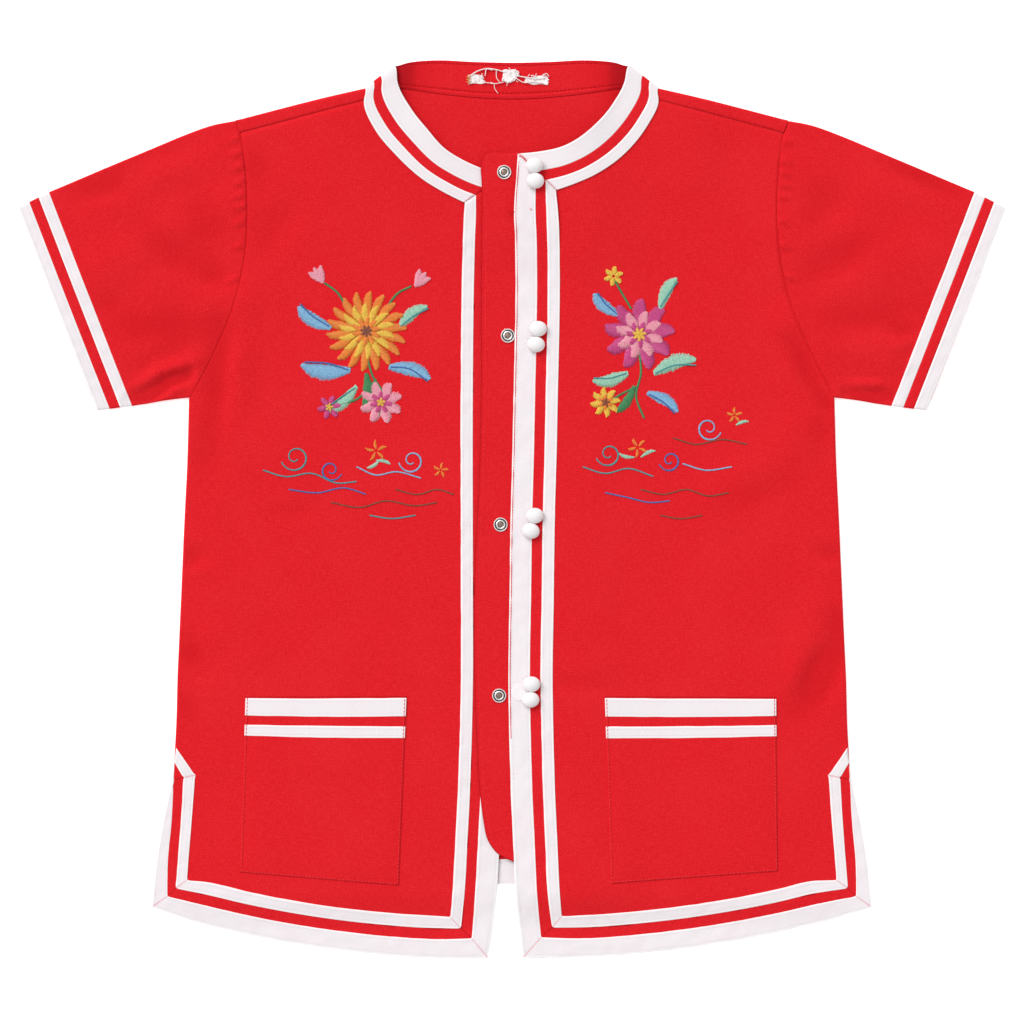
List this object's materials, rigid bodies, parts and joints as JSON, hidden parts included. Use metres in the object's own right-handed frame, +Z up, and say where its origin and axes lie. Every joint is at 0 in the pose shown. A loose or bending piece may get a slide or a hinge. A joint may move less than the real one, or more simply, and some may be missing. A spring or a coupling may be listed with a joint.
{
  "type": "tang shirt",
  "caption": "Child's red cotton Tang jacket with short sleeves, white and red bound edges, stand collar, snap front, covered buttons and patch pockets, laid flat.",
  "frame": {"origin": "centre of the garment's bounding box, on the surface that it lies on", "axes": "+X to the wearer's left, across the sleeves; +Y from the hem to the collar; +Z up off the surface, out of the garment's front"},
  "size_m": [0.6124, 0.5568, 0.0137],
  "materials": {
    "red_cotton": "plain-woven shirt cotton, matt",
    "white_cotton": "plain-woven shirt cotton, matt",
    "button_cover": "cotton stretched over a domed button",
    "label_remnant": "frayed woven tape",
    "snap_metal": "pressed nickel-plated steel, worn"
  },
  "bodies": {
    "root": {"back": "red_cotton", "back_band": "white_cotton", "back_strip": "red_cotton", "back_tape": "white_cotton", "button_1": "button_cover", "button_2": "button_cover", "button_3": "button_cover", "button_4": "button_cover", "button_5": "button_cover", "button_6": "button_cover", "button_7": "button_cover", "button_8": "button_cover", "collar_band": "white_cotton", "collar_stand": "red_cotton", "collar_strip": "red_cotton", "flat_button": "button_cover", "label_end_left": "label_remnant", "label_end_right": "label_remnant", "label_middle": "label_remnant", "left_cuff_band": "white_cotton", "left_cuff_strip": "red_cotton", "left_cuff_tape": "white_cotton", "left_front": "red_cotton", "left_front_band": "white_cotton", "left_front_strip": "red_cotton", "left_front_tape": "white_cotton", "left_pocket": "red_cotton", "left_pocket_band": "white_cotton", "left_pocket_tape": "white_cotton", "left_shoulder": "red_cotton", "left_sleeve": "red_cotton", "neck_tape": "white_cotton", "right_cuff_band": "white_cotton", "right_cuff_strip": "red_cotton", "right_cuff_tape": "white_cotton", "right_front": "red_cotton", "right_front_band": "white_cotton", "right_front_strip": "red_cotton", "right_front_tape": "white_cotton", "right_pocket": "red_cotton", "right_pocket_band": "white_cotton", "right_pocket_tape": "white_cotton", "right_shoulder": "red_cotton", "right_sleeve": "red_cotton", "snap_1": "snap_metal", "snap_2": "snap_metal", "snap_3": "snap_metal", "snap_4": "snap_metal", "underlap": "red_cotton"}
  },
  "joints": []
}
